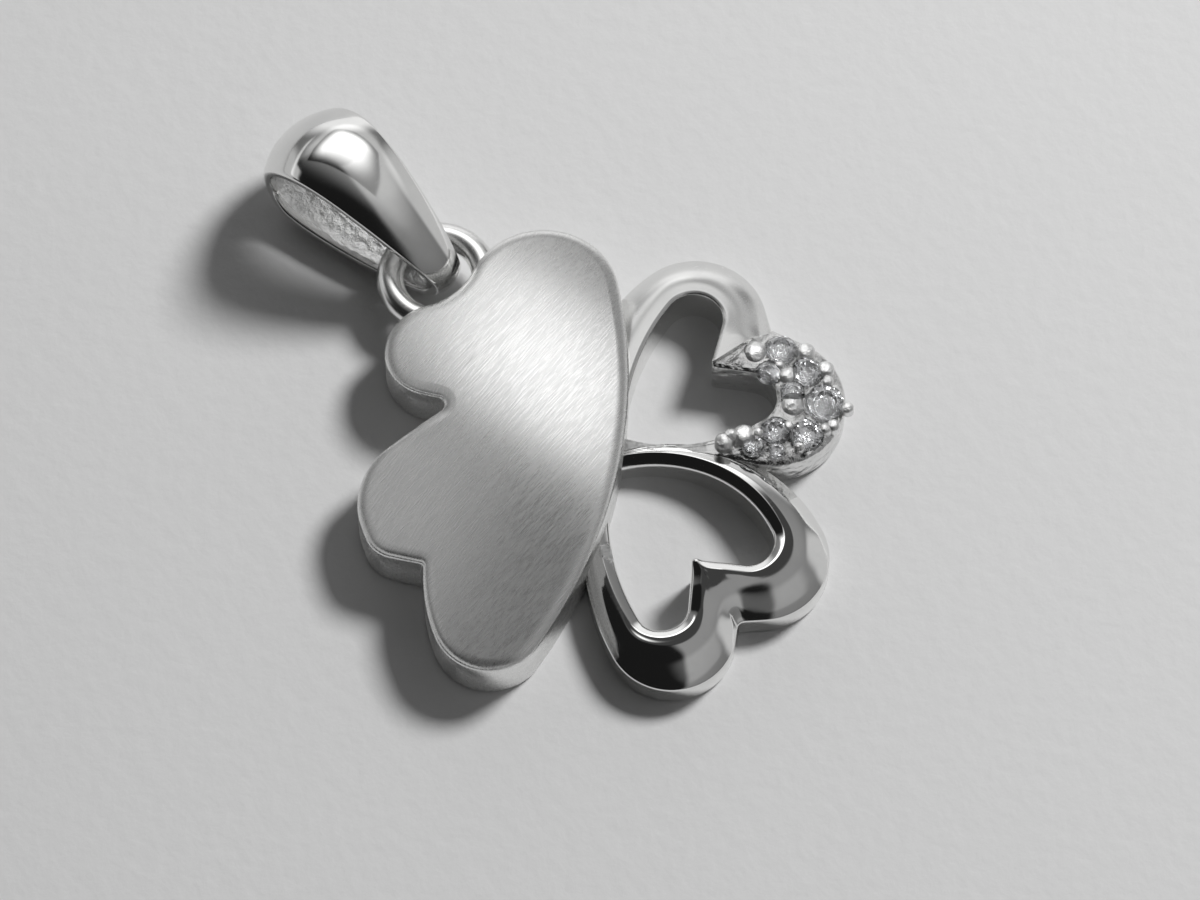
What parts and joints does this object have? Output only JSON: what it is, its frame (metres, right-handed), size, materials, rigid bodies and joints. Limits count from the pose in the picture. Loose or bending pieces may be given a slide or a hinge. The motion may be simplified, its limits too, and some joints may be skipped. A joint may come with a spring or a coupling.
{
  "type": "four leaf clover pendant",
  "caption": "Silver clover pendant: a domed satin double leaf, an open polished heart and an open heart half set with small clear stones, on a tapered loop bail.",
  "frame": {"origin": "centre of the clover, on the flat back that the pendant lies on", "axes": "+Z out of the pendant's face, +Y from the clover's centre towards the ring and bail, +X to the right of someone facing it"},
  "size_m": [0.0167, 0.0242, 0.0045],
  "materials": {
    "satin_silver": "satin",
    "polished_silver": "polished",
    "clear_stone": "faceted"
  },
  "bodies": {
    "root": {"clover_body": "satin_silver", "bail": "polished_silver", "stone_1": "clear_stone", "stone_2": "clear_stone", "stone_3": "clear_stone", "stone_4": "clear_stone", "stone_5": "clear_stone", "stone_6": "clear_stone", "stone_7": "clear_stone", "stone_8": "clear_stone", "stone_9": "clear_stone"}
  },
  "joints": []
}
